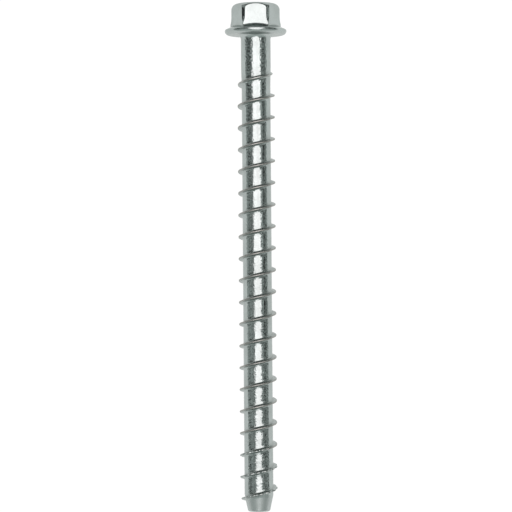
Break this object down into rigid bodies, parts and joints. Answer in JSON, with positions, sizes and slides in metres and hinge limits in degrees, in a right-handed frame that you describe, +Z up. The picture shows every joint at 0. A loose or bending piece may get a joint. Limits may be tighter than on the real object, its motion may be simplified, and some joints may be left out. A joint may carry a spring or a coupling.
{
  "type": "concrete screw",
  "caption": "Heavy-duty concrete screw: hexagon head on a round flange, plain neck, coarse right-hand thread with toothed leading turns and a blunt tapered tip, bright zinc plated.",
  "frame": {"origin": "on the floor, at the middle of the underside of the lying screw's bounding box", "axes": "+X along the screw from head to tip, +Y across it, +Z up; the screw's own axis dips 1.56 degrees towards the tip, because it lies on its flange rim and on a thread crest near the tip"},
  "size_m": [0.2168, 0.0264, 0.0264],
  "materials": {
    "zinc_plate": "bright zinc plate, semi-gloss"
  },
  "bodies": {
    "root": {"screw": "zinc_plate"}
  },
  "joints": []
}
